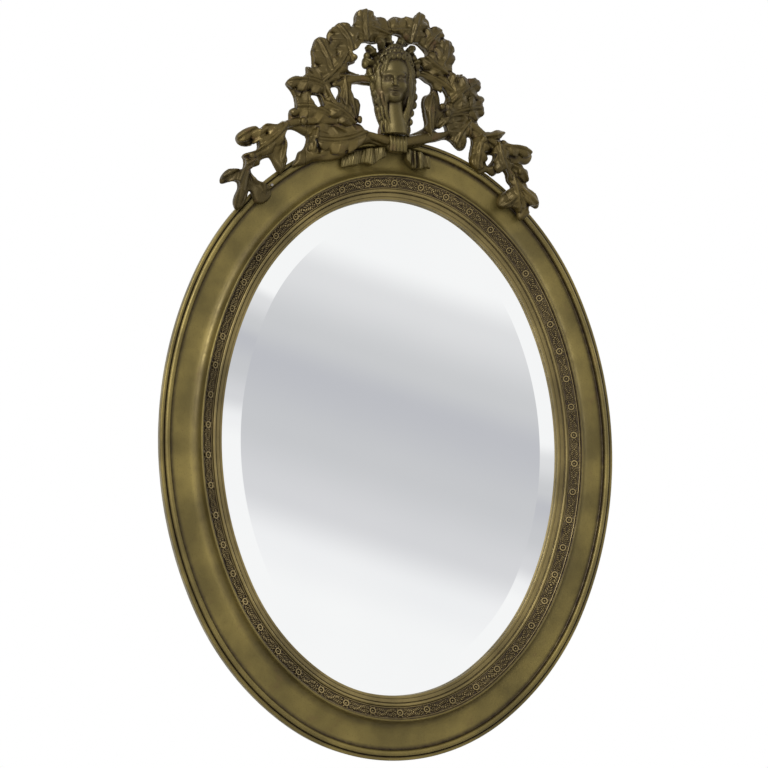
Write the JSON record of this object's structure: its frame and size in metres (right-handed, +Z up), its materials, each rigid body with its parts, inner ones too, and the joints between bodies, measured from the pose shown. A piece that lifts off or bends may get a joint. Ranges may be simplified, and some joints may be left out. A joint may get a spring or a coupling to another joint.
{
  "type": "oval mirror",
  "caption": "Oval bevelled wall mirror in an aged gilt moulding, crowned by a pierced oak-leaf wreath round a classical head, with a ribbon knot and two ring hangers behind.",
  "frame": {"origin": "centre of the sight oval, on the wall plane", "axes": "+X to the right seen from the front, +Y into the wall, +Z up"},
  "size_m": [0.6158, 0.0638, 0.9445],
  "materials": {
    "moulding_gilt": "aged gilt, soft satin",
    "band_gilt": "aged gilt, soft satin",
    "crest_gilt": "aged gilt, soft satin",
    "slip_gilt": "aged gilt, soft satin",
    "silvered_glass": "polished, bevelled",
    "back_wood": "raw, aged",
    "block_wood": "raw",
    "bar_wood": "raw, aged",
    "cut_nail_steel": "dark, rust-browned",
    "screw_steel": "dulled",
    "hanger_brass": "dull"
  },
  "bodies": {
    "mirror": {"frame_left": "moulding_gilt", "frame_right": "moulding_gilt", "joint_tongues": "block_wood", "ornament_band": "band_gilt", "sight_slip": "slip_gilt", "mirror_glass": "silvered_glass", "back_board_top": "back_wood", "back_board_middle": "back_wood", "back_board_bottom": "back_wood", "back_nails": "cut_nail_steel", "glass_blocks": "block_wood", "left_hanger_strap": "hanger_brass", "right_hanger_strap": "hanger_brass", "left_hanger_screws": "screw_steel", "right_hanger_screws": "screw_steel", "crest_bar": "bar_wood", "crest_bar_screws": "screw_steel", "crest_spray_screws": "screw_steel", "crest_spray_left": "crest_gilt", "crest_wreath_left": "crest_gilt", "crest_wreath_right": "crest_gilt", "crest_spray_right": "crest_gilt", "crest_head": "crest_gilt", "ribbon_knot": "crest_gilt", "ribbon_left": "crest_gilt", "ribbon_right": "crest_gilt"},
    "left_ring": {"left_hanger_ring": "hanger_brass"},
    "right_ring": {"right_hanger_ring": "hanger_brass"}
  },
  "joints": [
    {"name": "left_ring_swing", "type": "hinge", "parent": "mirror", "child": "left_ring", "pos_m": [-0.236, -0.00325, 0.176], "axis": [-1, 0, 0], "range_deg": [0, 160]},
    {"name": "right_ring_swing", "type": "hinge", "parent": "mirror", "child": "right_ring", "pos_m": [0.236, -0.00325, 0.176], "axis": [-1, 0, 0], "range_deg": [0, 160]}
  ]
}
